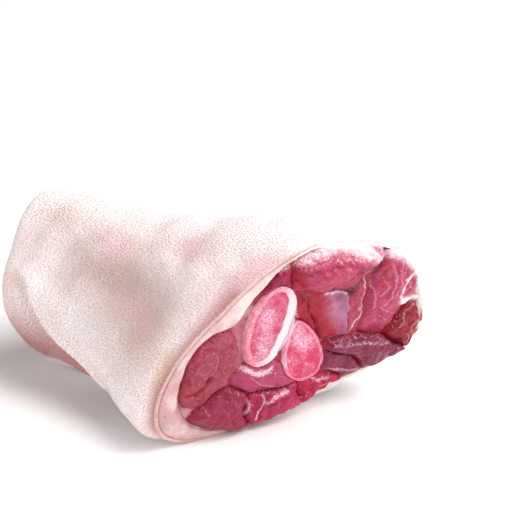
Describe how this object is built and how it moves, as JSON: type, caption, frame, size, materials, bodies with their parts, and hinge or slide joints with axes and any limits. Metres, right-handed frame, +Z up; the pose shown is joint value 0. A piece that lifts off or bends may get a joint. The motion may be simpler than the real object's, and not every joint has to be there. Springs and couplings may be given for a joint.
{
  "type": "raw pork hock",
  "caption": "Raw fore hock of pork on its side: skin-on shank, cut obliquely below the elbow to show bone, muscle and fat, and cut through the wrist.",
  "frame": {"origin": "middle of the underside of the whole hock's bounding box, where it rests", "axes": "+X from the wrist end to the elbow end, -Y towards the short side of the oblique elbow cut, +Z up from the surface it lies on"},
  "size_m": [0.202, 0.122, 0.1118],
  "materials": {
    "rind": "raw pork skin over white fat, smooth and slightly moist",
    "meat": "raw lean pork, wet and fibrous",
    "bone": "sawn bone, pinkish white, satin",
    "marrow": "spongy red marrow, sawn and moist"
  },
  "bodies": {
    "root": {"rind_and_fat": "rind", "bone_radius": "bone", "bone_ulna": "bone", "marrow_radius": "marrow", "marrow_ulna": "marrow", "muscle_left": "meat", "muscle_low_left": "meat", "muscle_below_bone": "meat", "muscle_bottom": "meat", "muscle_bright_end": "meat", "muscle_top_small": "meat", "muscle_top": "meat", "muscle_centre": "meat", "muscle_sliver": "meat", "muscle_groove": "meat", "muscle_right": "meat", "muscle_right_low": "meat", "muscle_roll": "meat", "muscle_low_small": "meat"}
  },
  "joints": []
}
